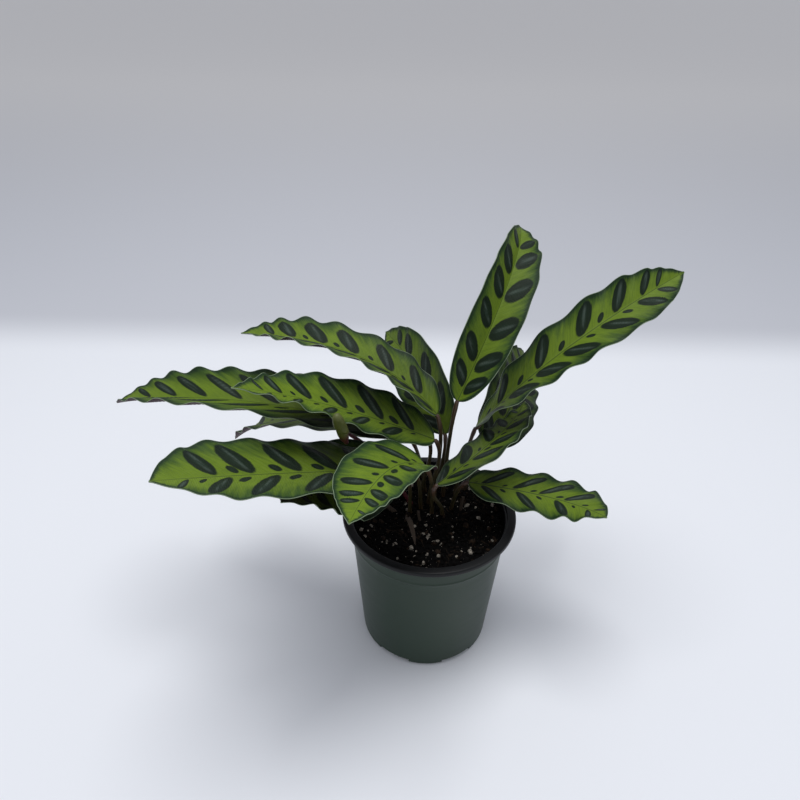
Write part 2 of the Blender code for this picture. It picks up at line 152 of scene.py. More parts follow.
LEAVES = [
    Leaf("leaf_tall", (10, 23), (14, 10, 175), (42, 47, 233), (54, 94, 252),
         35, (34, 31), 30, 3.6, Wave(1.2, 0.8, (1, 9, 21, 37, 52, 65, 80), (6, 17, 33, 52, 69, 80)),
         Marks(0.84, (0.62, 0.62), 0.0, (0.75, 0.75), (0.0, -0.1))),
    Leaf("leaf_right_long", (18, 24), (29, 31, 141), (77, 27, 201), (145, 50, 242),
         36, (0, 37), 16, 6.0, Wave(2.4, 0.8, (0, 16, 37, 56, 71, 82, 88), (10, 24, 37, 49, 65, 80, 88)),
         Marks(0.88, (0.40, 0.62), 0.42, (0.8, 0.8), (0.1, 0.25))),
    Leaf("leaf_right_middle", (9, 4), (3, -18, 134), (41, 12, 149), (63, 54, 147),
         35, (-23, -28), 1, 1.8, Wave(1.2, 0.8, (3, 22, 45, 62, 80), (9, 28, 43, 60, 76)),
         Marks(0.84, (0.50, 0.50), 0.28, (0.5, 0.75), (0.0, 0.2))),
    Leaf("leaf_right_back", (25, 30), (39, 39, 122), (58, 67, 143), (73, 132, 143),
         45, (45, 56), 3, 2.7, Wave(1.5, 0.8, (5, 22, 40, 58, 76), (13, 31, 49, 67, 84)),
         Marks(0.80, (0.50, 0.50), 0.35, (0.3, 0.35), (0.0, 0.0))),
    Leaf("leaf_right_low", (15, 10), (23, -2, 123), (73, -13, 121), (99, -37, 128),
         35, (3, 5), 5, 4.5, Wave(2.2, 0.8, (-4, 13, 34, 52, 69, 88), (10, 34, 61, 84)),
         Marks(0.88, (0.32, 0.36), 0.34, (0.6, 0.85), (0.45, 0.0))),
    Leaf("leaf_front", (2, 5), (-5, -26, 154), (-25, -52, 171), (-42, -101, 179),
         42, (-2, -1), 19, 3.7, Wave(0.9, 0.8, (7, 29, 50, 68, 77, 88), (1, 15, 39, 61, 73, 80)),
         Marks(0.84, (0.29, 0.29), 0.42, (0.85, 1.0), (0.0, 0.0))),
    Leaf("leaf_left_low", (-5, 10), (-13, -12, 140), (-81, -54, 169), (-130, -98, 199),
         58, (10, -7), 10, 4.5, Wave(1.2, 0.8, (3, 18, 37, 58, 75, 88), (-2, 13, 28, 43, 61, 75)),
         Marks(0.88, (0.36, 0.33), 0.36, (0.55, 0.9), (0.35, -0.35))),
    Leaf("leaf_left_under", (-12, 5), (-18, -4, 129), (-55, -22, 137), (-77, -77, 170),
         52, (-52, -17), 9, 1.8, Wave(1.3, 0.8, (4, 22, 40, 58, 76), (13, 31, 49, 67, 84)),
         Marks(0.80, (0.40, 0.40), 0.40, (0.3, 0.4), (0.0, 0.0))),
    Leaf("leaf_left_middle", (0, 15), (1, 2, 152), (-61, -8, 182), (-105, -38, 211),
         45, (-9, -8), 17, 2.3, Wave(1.6, 0.8, (2, 17, 33, 49, 66, 81), (1, 11, 26, 44, 61, 75, 84)),
         Marks(0.84, (0.34, 0.34), 0.40, (0.6, 0.95), (0.0, 0.0))),
    Leaf("leaf_left_long", (-5, 20), (-4, 10, 148), (-109, 9, 172), (-196, 27, 158),
         44, (-19, 8), 25, 6.5,
         Wave(1.8, 1.6, (10, 22, 35, 48, 60, 72), (12, 23, 34, 45, 56, 67, 77, 86)),
         Marks(0.80, (0.28, 0.28), 0.34, (0.10, 0.85), (0.0, 0.0))),
    Leaf("leaf_left_high", (4, 20), (2, 8, 166), (-45, 25, 195), (-115, 33, 205),
         41, (5, 6), 21, 4.5, Wave(1.7, 0.8, (6, 18, 31, 48, 64, 78), (2, 13, 29, 47, 62, 76, 85)),
         Marks(0.80, (0.48, 0.48), 0.32, (0.6, 0.85), (0.3, 0.0))),
    Leaf("leaf_back", (7, 30), (9, 25, 140), (-6, 56, 163), (-31, 116, 165),
         39, (-58, -55), 12, 2.9, Wave(1.0, 0.8, (5, 25, 48, 69, 84), (14, 35, 61, 75)),
         Marks(0.78, (0.62, 0.62), 0.0, (0.5, 0.65), (0.0, 0.0))),
    Leaf("leaf_left_back", (-2, 27), (-13, 29, 132), (-85, 43, 137), (-139, 75, 97),
         37, (5, 5), 12, 2.5, Wave(1.5, 0.8, (4, 19, 34, 50, 66, 82), (11, 26, 42, 58, 74, 88)),
         Marks(0.80, (0.40, 0.40), 0.34, (0.4, 0.5), (0.0, 0.0))),
]

FURLED_ROOT = (-11, 14)
FURLED_STALK = [(-36, 13, 133), (-50, 9, 150), (-52.5, 2, 157), (-51, -11, 162)]
FURLED_BASE = (-49, -28, 172)
FURLED_TIP = (-53, -35, 194)
FURLED_RADIUS = 3.4 * MM
FURLED_SWELL = ((0, 0.12, 0.3, 0.5, 0.75, 0.9, 0.97, 1.0), (0.42, 0.75, 0.97, 1.0, 0.95, 0.8, 0.5, 0.15))
FURLED_SIDES = 40
FURLED_STEPS = 34

REMNANTS = [
    ("stub_cut", (-22, 6), (-27, 4, 98), 1.6 * MM),
    ("stub_pale_left", (-6, -1), (-7, -2, 99), 1.0 * MM),
    ("stub_pale_right", (21, 9), (22, 8, 103), 1.0 * MM),
]
SHEATH_ROOT = (-15, -3)
SHEATH_TOP = (-9, -28, 95)
SHEATH_WIDTH = 3.4 * MM
SHEATH_SWELL = ((0, 0.1, 0.3, 0.55, 0.8, 1), (0.34, 0.4, 0.75, 1.0, 0.8, 0.12))
SHEATH_HALF_THICKNESS = 0.16 * MM
FOOT_IN_SOIL = 5 * MM


# Node helpers

class Look:
    """A Principled material and short calls that add nodes to it."""

    def __init__(self, name):
        self.material = bpy.data.materials.new(name)
        self.material.use_nodes = True
        self.tree = self.material.node_tree
        self.shader = self.tree.nodes["Principled BSDF"]

    def node(self, kind, **settings):
        made = self.tree.nodes.new(kind)
        for key, value in settings.items():
            setattr(made, key, value)
        return made

    def feed(self, socket, value):
        """Link a socket, or set it to a number or colour."""
        if isinstance(value, bpy.types.NodeSocket):
            self.tree.links.new(value, socket)
        elif isinstance(value, tuple) and socket.type == "RGBA" and len(value) == 3:
            socket.default_value = (*value, 1.0)
        else:
            socket.default_value = value

    def attribute(self, name):
        """The three parts of a vector attribute."""
        found = self.node("ShaderNodeAttribute", attribute_name=name)
        return self.split(found.outputs["Vector"])

    def split(self, vector):
        parts = self.node("ShaderNodeSeparateXYZ")
        self.feed(parts.inputs[0], vector)
        return tuple(parts.outputs)

    def join(self, x, y, z):
        made = self.node("ShaderNodeCombineXYZ")
        for socket, value in zip(made.inputs, (x, y, z)):
            self.feed(socket, value)
        return made.outputs[0]

    def calc(self, operation, a, b=0.0, c=0.0, clamp=False):
        made = self.node("ShaderNodeMath", operation=operation, use_clamp=clamp)
        for socket, value in zip(made.inputs, (a, b, c)):
            self.feed(socket, value)
        return made.outputs[0]

    def ease(self, value, low, high, start=0.0, end=1.0):
        """Smooth change from start to end as value goes from low to high."""
        made = self.node("ShaderNodeMapRange", interpolation_type="SMOOTHSTEP")
        for socket, given in zip(made.inputs, (value, low, high, start, end)):
            self.feed(socket, given)
        return made.outputs[0]

    def mix(self, share, a, b, blend="MIX"):
        made = self.node("ShaderNodeMix", data_type="RGBA", blend_type=blend)
        self.feed(made.inputs[0], share)
        self.feed(made.inputs[6], a)
        self.feed(made.inputs[7], b)
        return made.outputs[2]

    def grain(self, vector, scale, detail=3.0, rough=0.55):
        """Noise from 0 to 1."""
        made = self.node("ShaderNodeTexNoise")
        self.feed(made.inputs["Vector"], vector)
        self.feed(made.inputs["Scale"], scale)
        self.feed(made.inputs["Detail"], detail)
        self.feed(made.inputs["Roughness"], rough)
        return made.outputs[0]

    def place(self):
        return self.node("ShaderNodeTexCoord").outputs["Object"]

    def bump(self, height, strength, distance):
        made = self.node("ShaderNodeBump")
        self.feed(made.inputs["Height"], height)
        self.feed(made.inputs["Strength"], strength)
        self.feed(made.inputs["Distance"], distance)
        self.feed(self.shader.inputs["Normal"], made.outputs[0])

    def finish(self, colour, roughness, **others):
        self.feed(self.shader.inputs["Base Color"], colour)
        self.feed(self.shader.inputs["Roughness"], roughness)
        for name, value in others.items():
            self.feed(self.shader.inputs[name.replace("_", " ")], value)
        return self.material


# Mesh helpers

def unit(vectors):
    return vectors / np.linalg.norm(vectors, axis=-1, keepdims=True)


def metres(point):
    return np.array(point, float) * MM


def make_piece(name, points, faces, materials, slots=None, fields=None, node=None):
    """A smooth mesh piece that rides on the body, with vector fields on its points."""
    mesh = bpy.data.meshes.new(name)
    mesh.from_pydata(np.asarray(points, float).tolist(), [], faces)
    for each in materials:
        mesh.materials.append(each)
    if slots is not None:
        mesh.polygons.foreach_set("material_index", np.asarray(slots, np.int32))
    for key, values in (fields or {}).items():
        layer = mesh.attributes.new(key, "FLOAT_VECTOR", "POINT")
        layer.data.foreach_set("vector", np.asarray(values, np.float32).ravel())
    mesh.shade_smooth()
    mesh.update()
    piece = bpy.data.objects.new(name, mesh)
    bpy.context.collection.objects.link(piece)
    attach(piece, BODY)
    if node:
        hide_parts(node)
    return piece


def quads(rows, columns, start=0, closed=False, flip=False):
    """Faces of a grid of points, whose columns may close on themselves."""
    faces = []
    last = columns if closed else columns - 1
    for i in range(rows - 1):
        for j in range(last):
            a = start + i * columns + j
            b = start + i * columns + (j + 1) % columns
            ring = (a, b, b + columns, a + columns)
            faces.append(ring[::-1] if flip else ring)
    return faces


# Blades

def midrib(leaf, rows):
    """Evenly spaced points on the arched midrib, and its length."""
    base, mid, tip = metres(leaf.base), metres(leaf.mid), metres(leaf.tip)
    control = 2 * mid - (base + tip) / 2
    t = np.linspace(0, 1, 400)[:, None]
    curve = (1 - t) ** 2 * base + 2 * t * (1 - t) * control + t ** 2 * tip
    run = np.r_[0, np.cumsum(np.linalg.norm(np.diff(curve, axis=0), axis=1))]
    along = np.linspace(0, run[-1], rows)
    return np.stack([np.interp(along, run, curve[:, k]) for k in range(3)], axis=1), run[-1]


def half_widths(leaf, u):
    """Half the blade's width along its length: a round base, then a long lance tip."""
    rise = np.sqrt(1 - (1 - np.clip(u / BLADE_FULL, 0, 1)) ** 2.2)
    fall = 1 - np.clip((u - BLADE_FULL) / (1 - BLADE_FULL), 0, 1) ** leaf.blunt
    shape = leaf.width * MM / 2 * np.where(u < BLADE_FULL, rise, fall)
    return np.maximum(shape, BASE_HALF_WIDTH + (TIP_HALF_WIDTH - BASE_HALF_WIDTH) * u)


def column_places():
    """Places across the blade from -1 to 1, closer together at the midrib and at the margins."""
    even = np.linspace(-1, 1, 2 * SIDE_COLUMNS + 1)
    return even - 0.6 / (2 * math.pi) * np.sin(2 * math.pi * even)


def wave_turns(crests, vein):
    """Turns of a margin's wave at a place on the blade: a whole number at each crest."""
    places = np.array(crests) / 100
    before, after = places[1] - places[0], places[-1] - places[-2]
    knots = np.r_[places[0] - 3 * before, places, places[-1] + 3 * after]
    return np.interp(vein, knots, np.r_[-3, np.arange(len(places)), len(places) + 2])


def blade_fields(leaf, rows):
    """The blade's middle surface and, at each point, where it lies in the leaf's pattern."""
    spine, length = midrib(leaf, rows)
    along = unit(np.gradient(spine, axis=0))
    flat = unit(np.cross((0, 0, 1), along))
    roll = np.radians(np.linspace(*leaf.roll, rows))[:, None]
    side = np.cos(roll) * flat + np.sin(roll) * np.cross(along, flat)
    normal = np.cross(along, side)
    u = np.linspace(0, 1, rows)[:, None]
    v = column_places()[None, :]
    half = half_widths(leaf, u)
    out = half * abs(v)
    calm = np.clip(u / 0.12, 0, 1) * np.clip((1 - u) / 0.2, 0, 1) * np.interp(u, (0, 1), WAVE_SWELL)
    vein = u - leaf.wave.slant * out / length
    turns = np.where(v > 0, wave_turns(leaf.wave.left, vein), wave_turns(leaf.wave.right, vein))
    lift = out * math.sin(math.radians(leaf.fold))
    lift = lift + leaf.wave.height * MM * abs(v) ** 1.8 * calm * np.cos(2 * math.pi * turns)
    reach = np.sign(v) * out * math.cos(math.radians(leaf.fold))
    points = spine[:, None] + side[:, None] * reach[..., None] + normal[:, None] * lift[..., None]
    return dict(points=points, u=u + 0 * v, v=v + 0 * u, out=out, half=half + 0 * v, vein=vein * length,
                turns=turns, length=length)


def oval_distance(leaf, f, index, offset, inner, outer, aspects):
    """How far a point is from the nearest oval of one kind: 0 at its middle, 1 on its outline.

    An oval lies on a side vein, between two shares of the half blade, at a crest or between crests.
    """
    far, across = np.full_like(f["out"], NOWHERE), np.full_like(f["out"], NOWHERE)
    lean = math.hypot(1, leaf.wave.slant)
    sides = zip((1, -1), (leaf.wave.left, leaf.wave.right), aspects, leaf.marks.tilts)
    for sign, crests, aspect, tilt in sides:
        here = f["v"] * sign > 0
        count = len(crests) - (offset > 0)
        number = np.clip(np.round(f["turns"] - offset), 0, count - 1)
        seat = np.interp(number + offset, np.arange(len(crests)), np.array(crests) / 100)
        vary = np.sin(number * 12.9 + sign * 4.1 + index * 7.7 + offset * 3)
        other = np.sin(number * 7.3 + sign * 2.3 + index * 3.1 + offset * 5)
        reach = outer + 0.05 * vary
        size = half_widths(leaf, np.clip(seat + 0.07, 0, 1))
        long = (reach - inner) / 2
        middle = (inner + long) * size
        slope = (f["vein"] - seat * f["length"] - tilt * (f["out"] - middle)) / lean
        wide = aspect * long * size * 1.28 * (1 + 0.12 * other)
        lengthwise = abs((abs(f["v"]) - inner - long) / long)
        space = (lengthwise ** 2.3 + abs(slope / wide) ** 1.8) ** 0.5
        keep = here & (seat > 0.02)
        if offset:
            gaps = np.interp(number + offset, np.arange(len(crests) - 1) + 0.5, np.diff(crests))
            keep = keep & (gaps > DAB_ROOM)
        far = np.where(keep, space, far)
        across = np.where(here, slope, across)
    return far, across


def make_blade(leaf, looks, index):
    """One leaf's fine shell: face, back and margin."""
    _, length = midrib(leaf, 3)
    rows = int(length / ROW_STEP)
    f = blade_fields(leaf, rows)
    columns = f["v"].shape[1]
    marks = leaf.marks
    big, across = oval_distance(leaf, f, index, 0.0, OVAL_INNER, marks.outer, marks.aspects)
    small = np.full_like(big, NOWHERE)
    if marks.small:
        reach = DAB_INNER + DAB_REACH * marks.small
        small, _ = oval_distance(leaf, f, index, 0.5, DAB_INNER, reach, DAB_ASPECTS)
    points = f["points"]
    normal = unit(np.cross(np.gradient(points, axis=0), np.gradient(points, axis=1)))
    normal *= np.sign(normal[rows // 2, columns // 2] @ np.cross(
        points[rows // 2 + 1, columns // 2] - points[rows // 2, columns // 2],
        points[rows // 2, columns // 2 + 1] - points[rows // 2, columns // 2]))
    out, fade = f["out"], np.clip(1.15 - f["u"], 0.15, 1)
    inside = np.clip(1.2 - big, 0, 1)
    ridge = CREASE_HEIGHT * inside * np.exp(-(across / CREASE_WIDTH) ** 2)
    quilt = VEIN_RELIEF * np.cos(2 * math.pi * f["vein"] / VEIN_STEP) * np.clip(out / (4 * MM), 0, 1)
    rib_top = RIB_RISE * fade * np.exp(-(out / RIB_RISE_WIDTH) ** 2)
    rib_low = RIB_DEPTH * fade ** 1.5 * np.exp(-(out / RIB_DEPTH_WIDTH) ** 2)
    thick = MARGIN_THICKNESS + (CENTRE_THICKNESS - MARGIN_THICKNESS) * (1 - abs(f["v"]) ** 1.5)
    relief = (ridge + quilt * (1 - abs(f["v"]) ** 6))[..., None] * normal
    top = points + relief + normal * (thick / 2 + rib_top)[..., None]
    low = points + relief - normal * (thick / 2 + rib_low)[..., None]
    count = rows * columns
    faces = quads(rows, columns) + quads(rows, columns, start=count, flip=True)
    slots = [0] * ((rows - 1) * (columns - 1)) + [1] * ((rows - 1) * (columns - 1))
    loop = list(range(columns))
    loop += [i * columns + columns - 1 for i in range(1, rows)]
    loop += [(rows - 1) * columns + j for j in range(columns - 2, -1, -1)]
    loop += [i * columns for i in range(rows - 2, 0, -1)]
    for a, b in zip(loop, loop[1:] + loop[:1]):
        faces.append((b, a, a + count, b + count))
        slots.append(2)
    pattern = np.stack([big, small, abs(across) / MM], axis=-1)
    place = np.stack([out / MM, (f["half"] - out) / MM, f["vein"] / MM], axis=-1)
    # Painted shade: how much the blade's colour is darkened, from its base to its tip
    bright = np.interp(f["u"], PAINTED_LIGHT_SPAN, marks.bright)
    share = np.stack([f["u"], f["v"], bright], axis=-1)
    twice = {key: np.concatenate([value.reshape(-1, 3)] * 2) for key, value in
             (("marks", pattern), ("place", place), ("share", share))}
    make_piece(leaf.name + "_blade", np.concatenate([top.reshape(-1, 3), low.reshape(-1, 3)]), faces,
               looks, slots, twice, node=leaf.name)


# Stalks

def bezier(start, start_way, end, end_way, count):
    """Points of a cubic curve that leaves and arrives along the given vectors."""
    t = np.linspace(0, 1, count)[:, None]
    a, b = start + start_way, end - end_way
    return (1 - t) ** 3 * start + 3 * t * (1 - t) ** 2 * a + 3 * t * t * (1 - t) * b + t ** 3 * end


def on_soil(root):
    return np.array((root[0] * MM, root[1] * MM, SOIL_TOP))


def tube(path, radii, sides, lumps=0.0, seed=0):
    """Points and faces of a closed round tube along a path, with slightly uneven sides."""
    along = unit(np.gradient(path, axis=0))
    side = unit(np.cross(along, (0.31, 0.94, 0.13)))
    up = np.cross(along, side)
    turn = np.linspace(0, 2 * math.pi, sides, endpoint=False)
    rings = []
    for k, (p, r) in enumerate(zip(path, radii)):
        rise = k * 0.12 + seed * 7.7
        uneven = [1 + lumps * noise.noise(Vector((math.cos(t), math.sin(t), rise))) for t in turn]
        spokes = np.cos(turn)[:, None] * side[k] + np.sin(turn)[:, None] * up[k]
        rings.append(p + spokes * (r * np.array(uneven))[:, None])
    points = np.concatenate(rings + [path[:1], path[-1:]])
    rows = len(path)
    faces = quads(rows, sides, closed=True)
    first, last = rows * sides, rows * sides + 1
    for j in range(sides):
        after = (j + 1) % sides
        faces.append((first, after, j))
        faces.append((last, (rows - 1) * sides + j, (rows - 1) * sides + after))
    share = np.concatenate([np.repeat(np.linspace(0, 1, rows), sides), [0, 1]])
    around = np.concatenate([np.tile(turn, rows), [0, 0]])
    return points, faces, share, around


def stalk_path(leaf):
    """From the root in the soil to the blade's base."""
    spine, _ = midrib(leaf, 61)
    blade_way = unit(spine[3] - spine[0])
    entry = on_soil(leaf.root)
    span = np.linalg.norm(spine[0] - entry)
    rise = unit((spine[0] - entry) * (0.45, 0.45, 1.0))
    arrive = unit(blade_way + (0, 0, 1.1))
    tilt = math.sqrt(max(0.0, 1 - float(arrive @ blade_way) ** 2))
    end = spine[0] - blade_way * (STALK_RADIUS * tilt + GAP)
    above = bezier(entry, rise * span * 0.35, end, arrive * span * 0.22, STALK_ROWS)
    below = entry - rise * 6 * MM * np.linspace(1, 0, 5)[:-1, None]
    neck = np.array([spine[0] + blade_way * 1.2 * MM, spine[0] + blade_way * 3.5 * MM])
    return np.vstack([below, above, neck - (0, 0, 0.7 * MM)])


def make_stalk(leaf, look, index):
    path = stalk_path(leaf)
    share = np.linspace(0, 1, len(path))
    foot = 0.55 * np.clip(1 - share / 0.28, 0, 1) ** 1.5
    joint = 0.16 * np.exp(-((share - 0.9) / 0.07) ** 2)
    radii = STALK_RADIUS * (0.9 + foot * 0.55 + joint)
    radii[-2:] = STALK_RADIUS * np.array([0.8, 0.35])
    points, faces, rise, around = tube(path, radii, STALK_SIDES, 0.08, index)
    fields = {"stalk": np.stack([rise, around, np.full_like(rise, index)], axis=-1)}
    make_piece(leaf.name.replace("leaf", "stalk") + "_fine", points, faces, [look], None, fields,
               node=leaf.name.replace("leaf", "stalk"))


def smooth_path(knots, steps=8):
    """Points of a smooth curve through the inner knots, from the first up to the last but one."""
    knots = np.array(knots)
    path = [knots[0]]
    for k in range(1, len(knots) - 2):
        a, b, c, d = knots[k - 1], knots[k], knots[k + 1], knots[k + 2]
        for t in np.arange(steps) / steps:
            path.append(0.5 * (2 * b + (c - a) * t + (2 * a - 5 * b + 4 * c - d) * t ** 2
                               + (3 * b - a - 3 * c + d) * t ** 3))
    return np.array(path)


def make_furled_leaf(look):
    """The young leaf: a stalk, then a sheet rolled on itself whose outer edge shows as a seam."""
    entry, base, tip = on_soil(FURLED_ROOT), metres(FURLED_BASE), metres(FURLED_TIP)
    rise = unit((metres(FURLED_STALK[0]) - entry) * (0.5, 0.5, 1.0))
    stalk = smooth_path([entry - rise * 6 * MM, entry] + [metres(p) for p in FURLED_STALK] + [base, tip])
    steps, sides = FURLED_STEPS, FURLED_SIDES
    roll = [base + (tip - base) * k / steps for k in range(steps + 1)]
    s = np.linspace(0, 1, steps + 1)
    swell = np.interp(s, *FURLED_SWELL)
    path = np.vstack([stalk, roll])
    radii = np.concatenate([np.full(len(stalk), STALK_RADIUS * 0.92), FURLED_RADIUS * swell])
    points, faces, _, around = tube(path, radii, sides, 0.05, 5)
    points = points.copy()
    first = len(stalk)
    for k in range(first, len(path)):
        twist = 1.4 * (k - first) / steps
        for j in range(sides):
            turn = (j / sides + twist) % 1.0
            rolled = 1.06 - 0.2 * turn
            at = k * sides + j
            points[at] = path[k] + (points[at] - path[k]) * rolled
    share = np.concatenate([np.repeat(np.r_[np.full(first, -0.2), s], sides), [-0.2, 1.0]])
    share[:first * sides] = np.repeat(np.linspace(-1, -0.02, first), sides)
    fields = {"stalk": np.stack([share, around, np.zeros_like(share)], axis=-1)}
    make_piece("leaf_furled_fine", points, faces, [look], None, fields,
               node="leaf_furled")


def make_remnants(look):
    """Cut stubs of older stalks, with a hollow top, and the dry sheath that bends to the front."""
    for index, (name, root, top, radius) in enumerate(REMNANTS):
        entry, end = on_soil(root), metres(top)
        way = unit(end - entry)
        rise = entry + (end - entry) * np.linspace(0, 1, 14)[:, None]
        path = np.vstack([entry - way * FOOT_IN_SOIL, rise, end - way * 0.9 * MM])
        radii = np.r_[radius, np.linspace(1.0, 0.86, 14) * radius, radius * 0.55]
        points, faces, share, around = tube(path, radii, 20, 0.16, index + 3)
        fields = {"stalk": np.stack([share, around, np.full_like(share, index)], axis=-1)}
        make_piece(name + "_fine", points, faces, [look], None, fields, node=name)
    entry, top = on_soil(SHEATH_ROOT), metres(SHEATH_TOP)
    foot = entry - np.array((0, 0, FOOT_IN_SOIL))
    rows = bezier(entry, np.array((0, -4, 14)) * MM, top, np.array((2, -10, -7)) * MM, 40)
    rows = np.vstack([foot, rows])
    along = unit(np.gradient(rows, axis=0))
    side = unit(np.cross(along, (0.35, -1.0, 0.9)))
    normal = np.cross(side, along)
    t = np.linspace(0, 1, len(rows))
    widths = SHEATH_WIDTH * np.interp(t, *SHEATH_SWELL)
    across = np.linspace(-0.5, 0.5, 13)
    points = []
    for sign in (1, -1):
        for k, row in enumerate(rows):
            for v in across:
                ragged = 1 + 0.12 * noise.noise(Vector((t[k] * 9, v * 3, 0)))
                crinkle = 0.25 * MM * noise.noise(Vector((t[k] * 14, v * 5, 3)))
                place = row + side[k] * widths[k] * v * ragged
                cup = widths[k] * 0.9 * v * v
                place = place + normal[k] * (cup + crinkle + sign * SHEATH_HALF_THICKNESS)
                points.append(place)
    count, columns = len(rows) * len(across), len(across)
    faces = quads(len(rows), columns, flip=True) + quads(len(rows), columns, start=count)
    loop = list(range(columns)) + [i * columns + columns - 1 for i in range(1, len(rows))]
    loop += [(len(rows) - 1) * columns + j for j in range(columns - 2, -1, -1)]
    loop += [i * columns for i in range(len(rows) - 2, 0, -1)]
    faces += [(a, b, b + count, a + count) for a, b in zip(loop, loop[1:] + loop[:1])]
    share = np.tile(np.repeat(t, columns), 2)
    fields = {"stalk": np.stack([share, np.tile(across, 2 * len(rows)) * 6, share * 0 + 4], axis=-1)}
    make_piece("sheath_dry_fine", points, faces, [look], None, fields, node="sheath_dry")


# Pot

def wall_radius(z):
    """Outer radius of the straight wall at a height."""
    top = POT_RIM_RADIUS - WALL_UNDER_LIP
    low, high = CORNER_RADIUS, POT_HEIGHT - LIP_HEIGHT
    return POT_BASE_RADIUS + (top - POT_BASE_RADIUS) * (z - low) / (high - low)


def arc(centre, radius, start, end, steps):
    """Points on an arc in the profile, from one angle to another in degrees."""
    turns = np.radians(np.linspace(start, end, steps + 1))
    return [(centre[0] + radius * math.cos(t), centre[1] + radius * math.sin(t)) for t in turns]


def pot_profile():
    """Radius, height and finish (0 wall, 1 lip and inside), from the inner floor to the base's centre."""
    inner = wall_radius(CORNER_RADIUS) - POT_WALL
    lip_in, lip_low = POT_RIM_RADIUS - LIP_WIDTH, POT_HEIGHT - LIP_HEIGHT
    inside = [(0, POT_FLOOR)]
    inside += arc((inner - INNER_CORNER, POT_FLOOR + INNER_CORNER), INNER_CORNER, -90, 0, 6)
    inside += [(wall_radius(lip_low) - POT_WALL, lip_low), (lip_in, lip_low + 0.6 * MM)]
    lip = arc((lip_in + LIP_BEAD, POT_HEIGHT - LIP_BEAD), LIP_BEAD, 180, 90, 6)
    lip += arc((POT_RIM_RADIUS - LIP_BEAD, POT_HEIGHT - LIP_BEAD), LIP_BEAD, 90, 0, 6)
    lip += arc((POT_RIM_RADIUS - LIP_EDGE, lip_low + LIP_EDGE), LIP_EDGE, 0, -90, 4)
    ridge = POT_HEIGHT - RIDGE_BELOW_RIM
    wall = [(wall_radius(lip_low), lip_low)]
    for k in range(9):
        z = ridge + (1.4 - 0.35 * k) * MM
        out = RIDGE_OUT * math.cos(math.radians((k - 4) * 22.5)) ** 2
        wall.append((wall_radius(z) + out, z))
    wall += [(wall_radius(ridge - d * MM), ridge - d * MM) for d in range(6, 80, 6)]
    foot = wall_radius(CORNER_RADIUS) - CORNER_RADIUS
    base = arc((foot, CORNER_RADIUS), CORNER_RADIUS, 0, -90, 12)
    base += [(foot - 3 * MM, 0), (foot - 4.5 * MM, FOOT_LIFT)]
    base += [(BOSS_RADIUS + 1.5 * MM, FOOT_LIFT), (BOSS_RADIUS, 0), (0, 0)]
    return [(r, z, 1) for r, z in inside + lip] + [(r, z, 0) for r, z in wall + base]


def make_pot(wall_look, lip_look):
    profile = pot_profile()
    turn = np.linspace(0, 2 * math.pi, POT_STEPS, endpoint=False)
    points = [(0, 0, POT_FLOOR)]
    for r, z, _ in profile[1:-1]:
        points += [(r * math.cos(t), r * math.sin(t), z) for t in turn]
    points.append((0, 0, 0))
    rings = len(profile) - 2
    faces = [(0, 1 + j, 1 + (j + 1) % POT_STEPS) for j in range(POT_STEPS)]
    slots = [1] * POT_STEPS
    faces += quads(rings, POT_STEPS, start=1, closed=True, flip=True)
    for k in range(rings - 1):
        slots += [profile[k + 2][2]] * POT_STEPS
    low = 1 + (rings - 1) * POT_STEPS
    faces += [(len(points) - 1, low + (j + 1) % POT_STEPS, low + j) for j in range(POT_STEPS)]
    slots += [0] * POT_STEPS
    pot = make_piece("pot_fine", points, faces, [wall_look, lip_look], slots, node="pot")
    pot.data.set_sharp_from_angle(angle=math.radians(40))
    cut_drains(pot)


def cut_drains(pot):
    """Cut the drainage slots across the bottom corner, and keep the result as the piece's mesh."""
    blocks = bmesh.new()
    for k in range(DRAIN_COUNT):
        turn = 2 * math.pi * k / DRAIN_COUNT
        middle = wall_radius(CORNER_RADIUS) - DRAIN_REACH / 2 + 1 * MM
        made = bmesh.ops.create_cube(blocks, size=1)["verts"]
        bmesh.ops.scale(blocks, vec=(DRAIN_REACH, DRAIN_WIDTH, 2 * DRAIN_HEIGHT), verts=made)
        bmesh.ops.translate(blocks, vec=(middle, 0, 0), verts=made)
        bmesh.ops.rotate(blocks, matrix=Matrix.Rotation(turn, 3, "Z"), cent=(0, 0, 0), verts=made)
    mesh = bpy.data.meshes.new("drains")
    blocks.to_mesh(mesh)
    blocks.free()
    cutter = bpy.data.objects.new("drains", mesh)
    bpy.context.collection.objects.link(cutter)
    step = pot.modifiers.new("drains", "BOOLEAN")
    step.operation = "DIFFERENCE"
    step.object = cutter
    shaped = bpy.data.meshes.new_from_object(pot.evaluated_get(bpy.context.evaluated_depsgraph_get()))
    pot.modifiers.clear()
    pot.data = shaped
    bpy.data.objects.remove(cutter)


# Soil

def soil_height(x, y):
    """The soil's lumpy top: clods, and grains that stand out of it."""
    clods = noise.noise(Vector((x, y, 0)) / (11 * MM))
    clods += 0.5 * noise.noise(Vector((x, y, 9 * MM)) / (5 * MM))
    grain = max(0.0, noise.noise(Vector((x, y, 40 * MM)) / (3.2 * MM)) - 0.25)
    edge = min(1.0, (SOIL_EDGE - math.hypot(x, y)) / (8 * MM))
    return SOIL_TOP + SOIL_RELIEF * max(0.0, edge) * (0.55 * clods + 1.2 * grain)


def fine_height(x, y):
    rough = noise.fractal(Vector((x, y, 0.02)) / (2.2 * MM), 0.8, 2.2, 4)
    return soil_height(x, y) + SOIL_ROUGHNESS * rough


